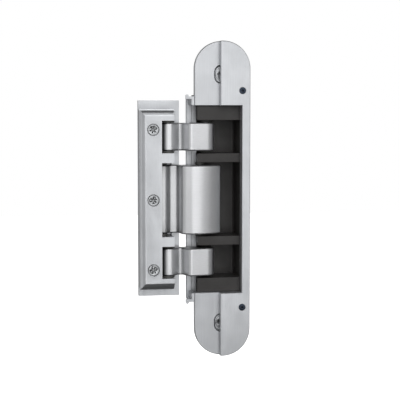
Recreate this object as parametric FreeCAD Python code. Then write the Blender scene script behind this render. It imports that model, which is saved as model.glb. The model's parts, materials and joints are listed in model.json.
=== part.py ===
"""Concealed door hinge for a clamped pane leaf, shown opened flat by 180 degrees.

The frame part is let into a door frame and the leaf part grips the edge of the door leaf.
Two outer arms and one centre arm cross between them. Each arm is pinned at both ends.
Millimetres. X runs to the right across the frame plate, Z is up and Y runs into the door frame.
Shapes are drawn with Y = 0 in the front face of the frame plate. They are then moved
so that the origin lies in its seat face, midway between the two fixing screws.
"""
import FreeCAD
import Part
import math
import os

V = FreeCAD.Vector

# Frame plate and its raised cover
plate_length = 160.0
plate_width = 28.0
plate_thickness = 3.0
cover_thickness = 3.5
cover_overlap = 1.2
rail_width = 4.2
plate_end = 32.45
edge_break = 0.3

# Fixing screws of the frame part
screw_inset = 16.7
slot_radius = 4.0
slot_travel = 2.0
slot_chamfer = 0.8
fixing_head_radius = 3.1
fixing_head_height = 1.7
head_rim = 0.35
fixing_neck_radius = 1.75
fixing_thread_radius = 2.1
fixing_thread_start = 0.2
fixing_point_radius = 0.4
fixing_screw_length = 38.0
head_sink = 0.6
cross_wing = 0.55
cross_reach = 2.0
recess_depth = 1.2

# Grub screws of the cover
grub_inset = 4.0
grub_rise = 7.55
grub_radius = 1.75
grub_socket = 0.9
grub_sink = 0.25

# Black housing behind the frame plate
housing_wall = 2.1
housing_back = 2.5
housing_rise = 5.45
land_inset = 1.6
land_draft = 1.4
land_front = 1.5
pocket_depth = 17.8
side_wall = 1.0
pocket_corner = 1.6
seat_gap = 0.1
housing_screw_inset = 9.5
housing_screw_rise = 2.75
housing_screw_radius = 1.25
housing_screw_head = 2.3
housing_screw_length = 11.0

# Pocket and arm heights, shared by the frame part and the leaf part
outer_pocket_drop = 15.7
outer_pocket_height = 16.9
land_height = 4.5
outer_arm_play = 1.45
centre_arm_play = 1.5
leaf_pocket_tighten = 0.25

# Side guard on the left of the frame plate
guard_width = 4.4
guard_rise = 4.7
guard_depth = 10.0
guard_floor = 2.5
guard_wall = 1.35
guard_leg = 1.45
guard_leg_height = 4.45
guard_flange = 1.5
guard_tray_inset = 1.8
guard_overlap = 2.5
guard_groove_inset = 0.3
guard_groove = 0.4
guard_lip = 0.75
guard_lip_rise = 0.2
guard_tab = 5.5
guard_tab_thickness = 1.4
guard_fit = 0.05

# Leaf part
leaf_gap = 6.3
leaf_thickness = 21.1
leaf_overhang = 2.7
margin_depth = 10.9
margin_thickness = 2.5
body_back = 21.0
jaw_end = 42.0
face_left_overhang = 0.3
face_end_margin = 4.55
face_right_margin = 3.95
face_thickness = 2.5
bevel_side = 2.7
bevel_end = 3.3
core_set_back = 0.2
leaf_window_width = 6.3
leaf_wall_undercut = 0.7
centre_wall_undercut = 2.5
outer_pocket_floor = 10.4
pocket_swing_clearance = 0.8

# Face plate screws
face_screw_x = 6.8
face_screw_rise = 3.65
face_head_radius = 2.65
face_hole_radius = 3.1
face_head_height = 1.4
face_head_sink = 0.15
face_screw_radius = 1.25
face_screw_length = 4.4
lobe_socket_radius = 1.85
lobe_count = 6

# Clamp for the pane
pane_slot = 10.0
jaw_thickness = 3.6
gasket_thickness = 1.0
gasket_border = 3.0
clamp_plate_gap = 0.3
clamp_screw_y = 32.0
clamp_screw_drop = 3.85
clamp_screw_radius = 2.5
clamp_head_radius = 4.6
clamp_head_height = 2.4
clamp_hex_socket = 1.7
sleeve_radius = 4.5
thread_bite = 3.0

# Fold geometry: both arms turn the leaf half a turn about the fold centre
fold_centre_out = 4.4
fold_centre_front = 2.3
fold_tilt = 47.5
fold_ring = 8.0
outer_reach = 17.6
centre_reach = 12.0

# Pins, bushes and washers
pin_radius = 1.5
pin_grip = 3.5
pin_clearance = 0.05
open_pivot_clearance = 0.36
bush_wall = 0.8
bush_set_back = 0.2
washer_play = 0.2
frame_washer_radius = 3.1
leaf_washer_radius = 3.2
centre_frame_washer_radius = 2.3
centre_leaf_washer_radius = 3.3

# Arms
arm_clearance = 0.7
outer_frame_eye = 3.2
outer_leaf_eye = 3.7
centre_frame_eye = 3.0
centre_leaf_eye = 3.7
outer_crest_front = 1.9
outer_nose_front = 0.3
centre_crest_front = 2.7
arm_edge_round = 0.5
eye_corner_run = 1.6
eye_corner_round = 2.4
outer_dip_inset = 0.1
outer_dip_depth = 5.9
outer_dip_round = 1.5
outer_crest_run = 1.5
outer_crest_round = 2.2
outer_nose_round = 4.8
eye_overrun = 1.0
outer_heel_round = 0.5
outer_heel_run = 3.0
neck_thickness = 3.2
neck_sink = 0.1
neck_run = 2.2
neck_round = 2.0
neck_front_inset = 1.3
neck_front_round = 1.5
neck_step = 0.2
neck_step_round = 1.2
centre_rise_run = 2.1
centre_rise_depth = 1.6
centre_rise_round = 3.5
centre_crest_run = 3.4
centre_crest_round = 9.0
centre_bow_round = 20.0
centre_bow_run = 11.4
centre_bow_turn = 34.0
centre_nose_run = 18.1
centre_nose_round = 1.0
centre_heel_run = 17.6
centre_heel_depth = 4.3
centre_heel_round = 0.6
centre_neck_edge = 0.6
centre_neck_round = 1.0
centre_neck_inset = 0.8
centre_eye_run = 1.5

window_height = plate_length - 2 * plate_end
screw_pitch = plate_length - 2 * screw_inset
housing_height = window_height + 2 * housing_rise
guard_height = window_height + 2 * guard_rise
leaf_height = window_height + 2 * leaf_overhang
face_height = leaf_height - 2 * face_end_margin
outer_centre_z = window_height / 2 - outer_pocket_drop
centre_pocket_height = 2 * (outer_centre_z - outer_pocket_height / 2 - land_height)
outer_arm_height = outer_pocket_height - 2 * outer_arm_play
centre_arm_height = centre_pocket_height - 2 * centre_arm_play
face_screw_pitch = outer_centre_z + face_screw_rise
clamp_screw_z = outer_centre_z - clamp_screw_drop
plate_left = -plate_width / 2
plate_right = plate_width / 2
window_right = plate_right - rail_width
land_left = plate_left + land_inset
fold_x = plate_left - fold_centre_out
fold_y = -fold_centre_front
grub_x = plate_right - grub_inset
grub_z = window_height / 2 + grub_rise
housing_screw_x = plate_right - housing_screw_inset
housing_screw_z = window_height / 2 + housing_screw_rise
leaf_right = plate_left - leaf_gap
leaf_left = leaf_right - leaf_thickness
face_right = leaf_right - face_right_margin
face_left = leaf_left - face_left_overhang
leaf_window_left = face_right - leaf_window_width
clamp_left = leaf_right - pane_slot - 2 * jaw_thickness
guard_left = plate_left - guard_width
tray_left = guard_left + guard_tray_inset
guard_right = plate_left + guard_overlap


def fold_leg(reach):
    """Second leg of the right triangle that shares the fold ring with the first leg."""
    return fold_ring + fold_ring * fold_ring / (2 * (reach - fold_ring))


def fold_pivots(reach):
    """Frame pivot and leaf pivot of an arm whose frame pivot lies at this reach."""
    tilt = math.radians(fold_tilt)
    leg = fold_leg(reach)
    frame_pivot = (fold_x + reach * math.cos(tilt), fold_y + reach * math.sin(tilt))
    leaf_pivot = (fold_x - leg * math.sin(tilt), fold_y + leg * math.cos(tilt))
    return frame_pivot, leaf_pivot


outer_frame_pivot, outer_leaf_pivot = fold_pivots(outer_reach)
centre_frame_pivot, centre_leaf_pivot = fold_pivots(centre_reach)


def box(x0, x1, y0, y1, z0, z1):
    """Box between two corners."""
    return Part.makeBox(x1 - x0, y1 - y0, z1 - z0, V(x0, y0, z0))


def rod_z(centre, radius, z0, z1):
    """Cylinder along Z around a point of the XY plane."""
    return Part.makeCylinder(radius, z1 - z0, V(centre[0], centre[1], z0), V(0, 0, 1))


def rod_y(x, z, radius, y0, y1):
    """Cylinder along Y."""
    return Part.makeCylinder(radius, y1 - y0, V(x, y0, z), V(0, 1, 0))


def ring_z(centre, outer, inner, z0, z1):
    """Tube along Z."""
    return rod_z(centre, outer, z0, z1).cut(rod_z(centre, inner, z0, z1))


def fused(shapes):
    """Union of several solids with its seams removed."""
    first, rest = shapes[0], shapes[1:]
    return first.multiFuse(rest).removeSplitter() if rest else first


def rounded_wire(corners, place):
    """Closed wire through corners (u, v, radius), each corner rounded by its radius."""
    ends = []
    count = len(corners)
    for index, (u, v, radius) in enumerate(corners):
        corner = V(u, v, 0)
        before = V(*corners[index - 1][:2], 0) - corner
        after = V(*corners[(index + 1) % count][:2], 0) - corner
        if radius <= 0:
            ends.append((corner, None, corner))
            continue
        half = before.getAngle(after) / 2
        before.normalize()
        after.normalize()
        run = radius / math.tan(half)
        bisector = (before + after).normalize()
        middle = corner + bisector * (radius / math.sin(half) - radius)
        ends.append((corner + before * run, middle, corner + after * run))
    edges = []
    for index, (start, middle, end) in enumerate(ends):
        last = ends[index - 1][2]
        if (start - last).Length > 1e-6:
            edges.append(Part.LineSegment(place(last), place(start)).toShape())
        if middle is not None:
            edges.append(Part.Arc(place(start), place(middle), place(end)).toShape())
    return Part.Wire(edges)


def prism_z(corners, z0, z1):
    """Rounded outline of the XY plane, extruded from z0 to z1."""
    wire = rounded_wire(corners, lambda p: V(p.x, p.y, z0))
    return Part.Face(wire).extrude(V(0, 0, z1 - z0))


def wire_xz(corners, y):
    """Rounded outline of the XZ plane at a depth."""
    return rounded_wire(corners, lambda p: V(p.x, y, p.y))


def prism_y(corners, y0, y1):
    """Rounded outline of the XZ plane, extruded from y0 to y1."""
    return Part.Face(wire_xz(corners, y0)).extrude(V(0, y1 - y0, 0))


def stadium(centre_x, centre_z, half_width, half_height):
    """Corners of a slot outline whose two ends are half circles."""
    radius = half_width - 0.001
    return [
        (centre_x - half_width, centre_z - half_height, radius),
        (centre_x + half_width, centre_z - half_height, radius),
        (centre_x + half_width, centre_z + half_height, radius),
        (centre_x - half_width, centre_z + half_height, radius),
    ]


def polygon_y(x, z, radius, sides, y0, y1):
    """Regular prism along Y, flat to flat twice the radius."""
    reach = radius / math.cos(math.pi / sides)
    points = []
    for index in range(sides + 1):
        turn = 2 * math.pi * index / sides
        points.append(V(x + reach * math.cos(turn), y0, z + reach * math.sin(turn)))
    return Part.Face(Part.makePolygon(points)).extrude(V(0, y1 - y0, 0))


def cross_tool(x, z, y0):
    """Cross recess: two crossed wings with tapering ends."""
    wings = []
    for wide, tall in ((cross_reach, cross_wing), (cross_wing, cross_reach)):
        wings.append(box(x - wide, x + wide, y0 - 1, y0 + recess_depth, z - tall, z + tall))
    core = Part.makeCone(cross_reach * 0.75, cross_wing, recess_depth, V(x, y0, z), V(0, 1, 0))
    return fused(wings + [core])


def lobe_tool(x, z, y0):
    """Six lobed recess: a core with six round lobes."""
    lobe = lobe_socket_radius * 0.24
    core = rod_y(x, z, lobe_socket_radius * 0.74, y0 - 1, y0 + recess_depth)
    lobes = [core]
    for index in range(lobe_count):
        turn = 2 * math.pi * index / lobe_count + math.pi / 6
        reach = lobe_socket_radius - lobe
        lobe_x = x + reach * math.cos(turn)
        lobe_z = z + reach * math.sin(turn)
        lobes.append(rod_y(lobe_x, lobe_z, lobe, y0 - 1, y0 + recess_depth))
    return fused(lobes)


def frame_outline(left):
    """Outline of the frame plate, kept to the right of a line."""
    whole = prism_y(stadium(0, 0, plate_width / 2, plate_length / 2), 0, 1)
    keep = box(left, plate_width, -1, 2, -plate_length, plate_length)
    return whole.common(keep)


def frame_slab(left, y0, y1):
    """Slab of the frame outline between two depths."""
    face = [f for f in frame_outline(left).Faces if abs(f.CenterOfMass.y) < 1e-6][0]
    slab = face.extrude(V(0, y1 - y0, 0))
    slab.translate(V(0, y0, 0))
    return slab


def break_front(shape, y, size):
    """Chamfer of the edges that lie in the front plane of a plate."""
    edges = [e for e in shape.Edges if abs(e.BoundBox.YMin - y) < 1e-6 and abs(e.BoundBox.YMax - y) < 1e-6]
    return shape.makeChamfer(size, edges)


def screw_slot(z):
    """Countersunk fixing slot of the frame plate."""
    half = slot_radius + slot_travel / 2
    narrow = stadium(0, z, slot_radius - slot_chamfer, half - slot_chamfer)
    wide_wire = wire_xz(stadium(0, z, slot_radius, half), 0)
    mouth = Part.makeLoft([wide_wire, wire_xz(narrow, slot_chamfer)], True, True)
    floor_y = head_sink + head_rim
    floor = prism_y(narrow, slot_chamfer / 2, floor_y)
    seat = Part.makeCone(fixing_head_radius, fixing_neck_radius, fixing_head_height - head_rim,
                         V(0, floor_y, z), V(0, 1, 0))
    hole = rod_y(0, z, fixing_thread_radius + seat_gap, 0, plate_thickness)
    return fused([mouth, floor, seat, hole])


def frame_plate():
    """Thin plate with stadium ends, a window open to the left and two fixing slots."""
    plate = frame_slab(plate_left, 0, plate_thickness)
    half = window_height / 2
    plate = plate.cut(box(plate_left - 1, window_right, -1, plate_thickness + 1, -half, half))
    plate = break_front(plate, 0, edge_break)
    for side in (-1, 1):
        plate = plate.cut(screw_slot(side * screw_pitch / 2))
        plate = plate.cut(housing_screw_hole(side))
    return plate


def housing_screw_hole(side):
    """Countersunk hole for the screw that holds the housing to the plate."""
    z = side * housing_screw_z
    cone = Part.makeCone(
        housing_screw_head + seat_gap,
        housing_screw_radius + seat_gap,
        housing_screw_head - housing_screw_radius,
        V(housing_screw_x, 0, z),
        V(0, 1, 0),
    )
    return fused([cone, rod_y(housing_screw_x, z, housing_screw_radius + seat_gap, 0, plate_thickness)])


def frame_cover():
    """Raised C shaped cover over the right half of the frame plate."""
    cover = frame_slab(-cover_overlap, -cover_thickness, 0)
    half = window_height / 2
    cover = cover.cut(box(-plate_width, window_right, -cover_thickness - 1, 1, -half, half))
    cover = break_front(cover, -cover_thickness, edge_break)
    for side in (-1, 1):
        cover = cover.cut(rod_y(grub_x, side * grub_z, grub_radius + pin_clearance, -cover_thickness, 0))
    return cover


def pocket_cut(z0, z1):
    """Arm pocket of the housing with rounded back corners, open to the left in front of the guard floor."""
    corners = [
        (land_left + side_wall, -cover_thickness, 0),
        (window_right, -cover_thickness, 0),
        (window_right, pocket_depth, pocket_corner),
        (land_left + side_wall, pocket_depth, pocket_corner * 0.5),
    ]
    front = box(land_left - 1, land_left + side_wall, -cover_thickness, guard_depth, z0, z1)
    return fused([prism_z(corners, z0, z1), front])


def guard_room():
    """Slanted left side of the lands and the groove that takes the edge of the guard floor."""
    half = housing_height / 2 + 1
    out = land_left - 1
    slant = [
        (out, land_front, 0),
        (land_left, land_front, 0),
        (land_left + land_draft, guard_depth, 0),
        (out, guard_depth, 0),
    ]
    floor_back = guard_depth + guard_floor + seat_gap
    notch = box(out, guard_right + seat_gap, guard_depth - guard_fit, floor_back, -half, half)
    return fused([prism_z(slant, -half, half), notch])


def pocket_spans(tighten=0.0):
    """Height range of each arm pocket, from the bottom one to the top one."""
    half = outer_pocket_height / 2 - tighten
    middle = centre_pocket_height / 2 - tighten / 2
    return [
        (-outer_centre_z - half, -outer_centre_z + half),
        (-middle, middle),
        (outer_centre_z - half, outer_centre_z + half),
    ]


def frame_housing():
    """Black body behind the plate: three pockets parted by lands that stand in the window."""
    half = housing_height / 2
    right = window_right + housing_wall
    back = pocket_depth + housing_back
    body = box(land_left, right, plate_thickness, back, -half, half)
    rise = window_height / 2 - seat_gap
    front = box(land_left, window_right - seat_gap, land_front, plate_thickness, -rise, rise)
    body = fused([body, front])
    for z0, z1 in pocket_spans():
        body = body.cut(pocket_cut(z0, z1))
    body = body.cut(guard_room())
    end = window_height / 2
    for side in (-1, 1):
        z_near, z_far = sorted((side * (end - seat_gap * 2), side * (half + 1)))
        tab_right = plate_left + guard_tab + seat_gap
        notch_back = plate_thickness + guard_tab_thickness + seat_gap
        body = body.cut(box(land_left - 1, tab_right, plate_thickness - 1, notch_back, z_near, z_far))
        deep = plate_thickness + housing_screw_length
        body = body.cut(rod_y(housing_screw_x, side * housing_screw_z, housing_screw_radius, 0, deep))
        z_low, z_high = sorted((side * (half + 1), side * pin_low_z()))
        body = body.cut(rod_z(outer_frame_pivot, pin_radius, z_low, z_high))
    body = body.cut(rod_z(centre_frame_pivot, pin_radius, -centre_pin_half(), half + 1))
    return body


def centre_pin_half():
    """Half length of the centre pins."""
    return centre_pocket_height / 2 + pin_grip


def pin_low_z():
    """Height of the inner end of the outer pins."""
    return outer_centre_z - outer_pocket_height / 2 - pin_grip


def pin_high_z():
    """Height of the outer end of the outer pins."""
    return outer_centre_z + outer_pocket_height / 2 + pin_grip


def side_guard():
    """Thin tray along the left edge: a grooved floor, end walls with flanges and lips, legs and tabs."""
    half = guard_height / 2
    inner = plate_left - guard_fit
    groove_right = plate_left + guard_groove_inset
    tab_back = plate_thickness + guard_tab_thickness
    parts = [box(tray_left, guard_right, guard_depth, guard_depth + guard_floor, -half, half)]
    for side in (-1, 1):
        z0, z1 = sorted((side * (half - guard_wall), side * half))
        parts.append(box(tray_left, inner, 0, guard_depth, z0, z1))
        parts.append(box(guard_left + guard_lip, inner, 0, guard_flange, z0, z1))
        z2, z3 = sorted((side * (half - guard_leg_height), side * half))
        parts.append(box(inner - guard_leg, inner, 0, guard_depth, z2, z3))
        parts.append(box(inner - guard_leg, plate_left + guard_tab, plate_thickness, tab_back, z2, z3))
        lip_z = side * (half + guard_lip_rise)
        parts.append(rod_y(guard_left + guard_lip, lip_z, guard_lip, 0, guard_flange))
        z4, z5 = sorted((side * (half - guard_wall), lip_z))
        parts.append(box(guard_left, guard_left + guard_lip, 0, guard_flange, z4, z5))
    guard = fused(parts)
    groove = box(groove_right - guard_groove, groove_right, guard_depth - 1, guard_depth + guard_groove,
                 -half + guard_leg_height, half - guard_leg_height)
    return guard.cut(groove)


def fixing_screw(z):
    """Countersunk fixing screw with a cross recess."""
    head_back = head_sink + fixing_head_height
    rim_disc = rod_y(0, z, fixing_head_radius, head_sink, head_sink + head_rim)
    cone = Part.makeCone(fixing_head_radius, fixing_neck_radius, fixing_head_height - head_rim,
                         V(0, head_sink + head_rim, z), V(0, 1, 0))
    tip = fixing_screw_length - 2 * fixing_thread_radius
    thread_front = plate_thickness + fixing_thread_start
    neck = rod_y(0, z, fixing_neck_radius, head_back, thread_front)
    thread = rod_y(0, z, fixing_thread_radius, thread_front, tip)
    point = Part.makeCone(fixing_thread_radius, fixing_point_radius, 2 * fixing_thread_radius,
                          V(0, tip, z), V(0, 1, 0))
    return fused([rim_disc, cone, neck, thread, point]).cut(cross_tool(0, z, head_sink))


def grub_screw(z):
    """Hex socket grub screw that holds the cover down on the plate."""
    front = -cover_thickness + grub_sink
    body = rod_y(grub_x, z, grub_radius, front, 0)
    return body.cut(polygon_y(grub_x, z, grub_socket, 6, front - 1, front + recess_depth))


def housing_screw(side):
    """Countersunk screw that holds the housing to the plate, under the cover."""
    z = side * housing_screw_z
    cone_height = housing_screw_head - housing_screw_radius
    start = V(housing_screw_x, 0.1, z)
    cone = Part.makeCone(housing_screw_head, housing_screw_radius, cone_height, start, V(0, 1, 0))
    end = plate_thickness + housing_screw_length - 0.5
    return fused([cone, rod_y(housing_screw_x, z, housing_screw_radius, cone_height, end)])


def outer_arm_outline():
    """Outline of an outer arm: a low eye in the leaf, a dip over the leaf edge and a broad crest."""
    frame_x, frame_y = outer_frame_pivot
    leaf_x, leaf_y = outer_leaf_pivot
    under = guard_depth - arm_clearance
    return [
        (leaf_x, leaf_y - outer_leaf_eye, 0),
        (leaf_x + eye_corner_run, leaf_y - outer_leaf_eye, eye_corner_round),
        (leaf_right + outer_dip_inset, outer_dip_depth, outer_dip_round),
        (fold_x + outer_crest_run, -outer_crest_front, outer_crest_round),
        (frame_x + outer_frame_eye, -outer_nose_front, outer_nose_round),
        (frame_x + outer_frame_eye, frame_y, 0),
        (frame_x, frame_y + eye_overrun, 0),
        (frame_x - outer_frame_eye, frame_y, 0),
        (frame_x - outer_frame_eye, under, outer_heel_round),
        (leaf_x + outer_heel_run, under, 0),
        (leaf_x, leaf_y + outer_leaf_eye, 0),
    ]


def centre_arm_outline():
    """Outline of the centre arm: an eye in the leaf, a slim neck and a broad bowed body."""
    frame_x, frame_y = centre_frame_pivot
    leaf_x, leaf_y = centre_leaf_pivot
    under = guard_depth - arm_clearance
    neck_back = margin_depth - arm_clearance + neck_sink
    neck_front = neck_back - neck_thickness
    nose_drop = (centre_nose_run - centre_bow_run) * math.tan(math.radians(centre_bow_turn))
    return [
        (leaf_x, leaf_y - centre_leaf_eye, 0),
        (leaf_x + neck_run, leaf_y - centre_leaf_eye, neck_round),
        (face_right - neck_front_inset, neck_front, neck_front_round),
        (leaf_right - neck_front_round, neck_front - neck_step, neck_step_round),
        (fold_x - centre_rise_run, centre_rise_depth - centre_crest_front, centre_rise_round),
        (fold_x + centre_crest_run, -centre_crest_front, centre_crest_round),
        (fold_x + centre_bow_run, -centre_crest_front, centre_bow_round),
        (fold_x + centre_nose_run, nose_drop - centre_crest_front, centre_nose_round),
        (fold_x + centre_heel_run, centre_heel_depth, centre_heel_round),
        (frame_x + centre_frame_eye, frame_y - centre_heel_round, centre_heel_round),
        (frame_x + centre_frame_eye, frame_y, 0),
        (frame_x, frame_y + eye_overrun, 0),
        (frame_x - centre_frame_eye, under, 0),
        (guard_left - centre_neck_edge, under, centre_neck_round),
        (leaf_right - centre_neck_edge, neck_back, centre_neck_round),
        (face_right - centre_neck_inset, neck_back, centre_neck_round),
        (leaf_x + centre_eye_run, leaf_y + centre_eye_run, 0),
    ]


def arm(outline, pivots, eyes, bores, z0, z1):
    """Arm with an eye around each pivot and a bore for each bush."""
    body = [prism_z(outline, z0, z1)]
    for pivot, eye in zip(pivots, eyes):
        body.append(rod_z(pivot, eye, z0, z1))
    solid = fused(body)
    top_edges = []
    for edge in solid.Edges:
        bounds = edge.BoundBox
        flat = abs(bounds.ZMax - bounds.ZMin) < 1e-6
        if flat and bounds.YMin < 4.5 and bounds.XMin > leaf_right and bounds.YMax < 12.0:
            top_edges.append(edge)
    solid = solid.makeChamfer(arm_edge_round, top_edges)
    for pivot, bore in zip(pivots, bores):
        solid = solid.cut(rod_z(pivot, bore, z0 - 1, z1 + 1))
    return solid


bush_radius = pin_radius + bush_wall
open_bush_radius = bush_radius + open_pivot_clearance


def outer_arm(side):
    """One of the two outer arms."""
    z0 = side * outer_centre_z - outer_arm_height / 2
    z1 = z0 + outer_arm_height
    pivots = (outer_frame_pivot, outer_leaf_pivot)
    return arm(outer_arm_outline(), pivots, (outer_frame_eye, outer_leaf_eye), (bush_radius, bush_radius), z0, z1)


def centre_arm():
    """The tall arm in the middle."""
    half = centre_arm_height / 2
    pivots = (centre_frame_pivot, centre_leaf_pivot)
    bores = (bush_radius, open_bush_radius)
    return arm(centre_arm_outline(), pivots, (centre_frame_eye, centre_leaf_eye), bores, -half, half)


def bush(pivot, outer, bore, z0, z1):
    """Plain bush pressed into an arm, a little shorter than the arm."""
    return ring_z(pivot, outer, bore, z0 + bush_set_back, z1 - bush_set_back)


def washers(pivot, radius, spans, arm_spans):
    """Thrust washers between the lands and the faces of an arm."""
    rings = []
    for (low, high), (arm_low, arm_high) in zip(spans, arm_spans):
        bore = pin_radius + pin_clearance
        rings.append(ring_z(pivot, radius, bore, low, arm_low - washer_play))
        rings.append(ring_z(pivot, radius, bore, arm_high + washer_play, high))
    return Part.makeCompound(rings)


def arm_spans():
    """Height range of the bottom, centre and top arm."""
    half = outer_arm_height / 2
    middle = centre_arm_height / 2
    return [
        (-outer_centre_z - half, -outer_centre_z + half),
        (-middle, middle),
        (outer_centre_z - half, outer_centre_z + half),
    ]


def outer_pin(pivot, side):
    """Pin of one outer arm."""
    z0, z1 = sorted((side * pin_low_z(), side * pin_high_z()))
    return rod_z(pivot, pin_radius, z0, z1)


def leaf_pocket(index, span):
    """Pocket of the leaf body behind one window of the face plate."""
    z0, z1 = span
    if index != 1:
        left = leaf_window_left - leaf_wall_undercut
        return box(left, face_right + 1, face_thickness - 1, outer_pocket_floor, z0, z1)
    left = leaf_window_left - centre_wall_undercut
    swing = centre_leaf_eye + pocket_swing_clearance
    floor = centre_leaf_pivot[1] + swing
    front = box(left, face_right + 1, face_thickness - 1, outer_pocket_floor, z0, z1)
    deep = box(centre_leaf_pivot[0], face_right, face_thickness, floor, z0, z1)
    return fused([front, deep, rod_z(centre_leaf_pivot, swing, z0, z1)])


def leaf_body():
    """Leaf body: narrow core with three pockets, margin plate, block and the fixed jaw of the clamp."""
    half = leaf_height / 2
    core_half = face_height / 2 - core_set_back
    core = box(face_left + core_set_back, face_right, face_thickness, margin_depth, -core_half, core_half)
    margin = box(leaf_left, leaf_right, margin_depth, margin_depth + margin_thickness, -half, half)
    block = box(clamp_left, leaf_right, margin_depth, body_back, -half, half)
    jaw = box(clamp_left, clamp_left + jaw_thickness, body_back, jaw_end, -half, half)
    body = fused([core, margin, block, jaw])
    for index, span in enumerate(pocket_spans(leaf_pocket_tighten)):
        body = body.cut(leaf_pocket(index, span))
    for side in (-1, 1):
        z0, z1 = sorted((side * pin_low_z(), side * (core_half + 1)))
        body = body.cut(rod_z(outer_leaf_pivot, pin_radius, z0, z1))
        body = body.cut(clamp_hole(side))
    body = body.cut(rod_z(centre_leaf_pivot, pin_radius, -centre_pin_half(), core_half + 1))
    for z in (-face_screw_pitch, 0, face_screw_pitch):
        depth = face_screw_length + face_head_sink
        body = body.cut(rod_y(face_left + face_screw_x, z, face_screw_radius, face_thickness - 1, depth))
    return body


def face_level(share, y):
    """Outline of the face plate at one step of its bevel, the right edge staying in place."""
    half = face_height / 2 - share * bevel_end
    left = face_left + share * bevel_side
    corners = [(left, -half, 0), (face_right, -half, 0), (face_right, half, 0), (left, half, 0)]
    return wire_xz(corners, y)


def leaf_face_plate():
    """Face plate with a hollow bevel on three sides, three windows and three screw seats."""
    steps = [
        (0.0, face_thickness),
        (0.0, face_thickness * 0.90),
        (0.14, face_thickness * 0.84),
        (0.26, face_thickness * 0.70),
        (0.40, face_thickness * 0.40),
        (0.52, face_thickness * 0.26),
        (0.74, face_thickness * 0.12),
        (0.90, face_thickness * 0.03),
        (1.0, 0.0),
    ]
    sections = [face_level(share, y) for share, y in steps]
    plate = fused([Part.makeLoft([a, b], True, True) for a, b in zip(sections, sections[1:])])
    for z0, z1 in pocket_spans(leaf_pocket_tighten):
        plate = plate.cut(box(leaf_window_left, face_right + 1, -1, face_thickness + 1, z0, z1))
    x = face_left + face_screw_x
    for z in (-face_screw_pitch, 0, face_screw_pitch):
        seat = face_head_sink + face_head_height
        plate = plate.cut(rod_y(x, z, face_hole_radius, -1, seat))
        plate = plate.cut(rod_y(x, z, face_screw_radius + seat_gap, 0, face_thickness + 1))
    return plate


def face_screw(z):
    """Face plate screw with a six lobed recess."""
    x = face_left + face_screw_x
    head = rod_y(x, z, face_head_radius, face_head_sink, face_head_sink + face_head_height)
    rim = [e for e in head.Edges if abs(e.BoundBox.YMax - face_head_sink) < 1e-6]
    head = head.makeChamfer(0.3, rim)
    shank = rod_y(x, z, face_screw_radius, face_head_sink + face_head_height, face_head_sink + face_screw_length)
    return fused([head, shank]).cut(lobe_tool(x, z, face_head_sink))


def clamp_hole(side):
    """Threaded hole of the fixed jaw."""
    start = V(clamp_left + jaw_thickness - thread_bite, clamp_screw_y, side * clamp_screw_z)
    return Part.makeCylinder(clamp_screw_radius, thread_bite, start, V(1, 0, 0))


def clamp_plate():
    """Loose jaw of the clamp with two countersunk holes."""
    half = leaf_height / 2
    plate = box(leaf_right - jaw_thickness, leaf_right, body_back + clamp_plate_gap, jaw_end, -half, half)
    for side in (-1, 1):
        start = V(leaf_right, clamp_screw_y, side * clamp_screw_z)
        cone = Part.makeCone(clamp_head_radius + seat_gap, clamp_screw_radius + seat_gap,
                             clamp_head_height, start, V(-1, 0, 0))
        hole = Part.makeCylinder(clamp_screw_radius + seat_gap, jaw_thickness, start, V(-1, 0, 0))
        plate = plate.cut(fused([cone, hole]))
    return plate


def clamp_screw(side):
    """Countersunk clamp screw with a hex socket."""
    start = V(leaf_right - seat_gap, clamp_screw_y, side * clamp_screw_z)
    head = Part.makeCone(clamp_head_radius, clamp_screw_radius, clamp_head_height, start, V(-1, 0, 0))
    reach = jaw_thickness + pane_slot + thread_bite - seat_gap - 0.3
    shank = Part.makeCylinder(clamp_screw_radius, reach - clamp_head_height,
                              start - V(clamp_head_height, 0, 0), V(-1, 0, 0))
    socket = Part.makeCylinder(clamp_hex_socket, recess_depth, start, V(-1, 0, 0))
    return fused([head, shank]).cut(socket)


def pane_sleeve(side):
    """Sleeve around a clamp screw that keeps the pane off the metal."""
    start = V(clamp_left + jaw_thickness, clamp_screw_y, side * clamp_screw_z)
    outer = Part.makeCylinder(sleeve_radius, pane_slot, start, V(1, 0, 0))
    return outer.cut(Part.makeCylinder(clamp_screw_radius + seat_gap, pane_slot, start, V(1, 0, 0)))


def gasket(x0):
    """Soft pad between the pane and one jaw."""
    half = leaf_height / 2 - gasket_border
    pad = box(x0, x0 + gasket_thickness, body_back + gasket_border, jaw_end - gasket_border, -half, half)
    for side in (-1, 1):
        start = V(x0 - 1, clamp_screw_y, side * clamp_screw_z)
        pad = pad.cut(Part.makeCylinder(sleeve_radius + seat_gap, gasket_thickness + 2, start, V(1, 0, 0)))
    return pad


def both_sides(maker):
    """Compound of a piece at the lower and at the upper end."""
    return Part.makeCompound([maker(-1), maker(1)])


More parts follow.
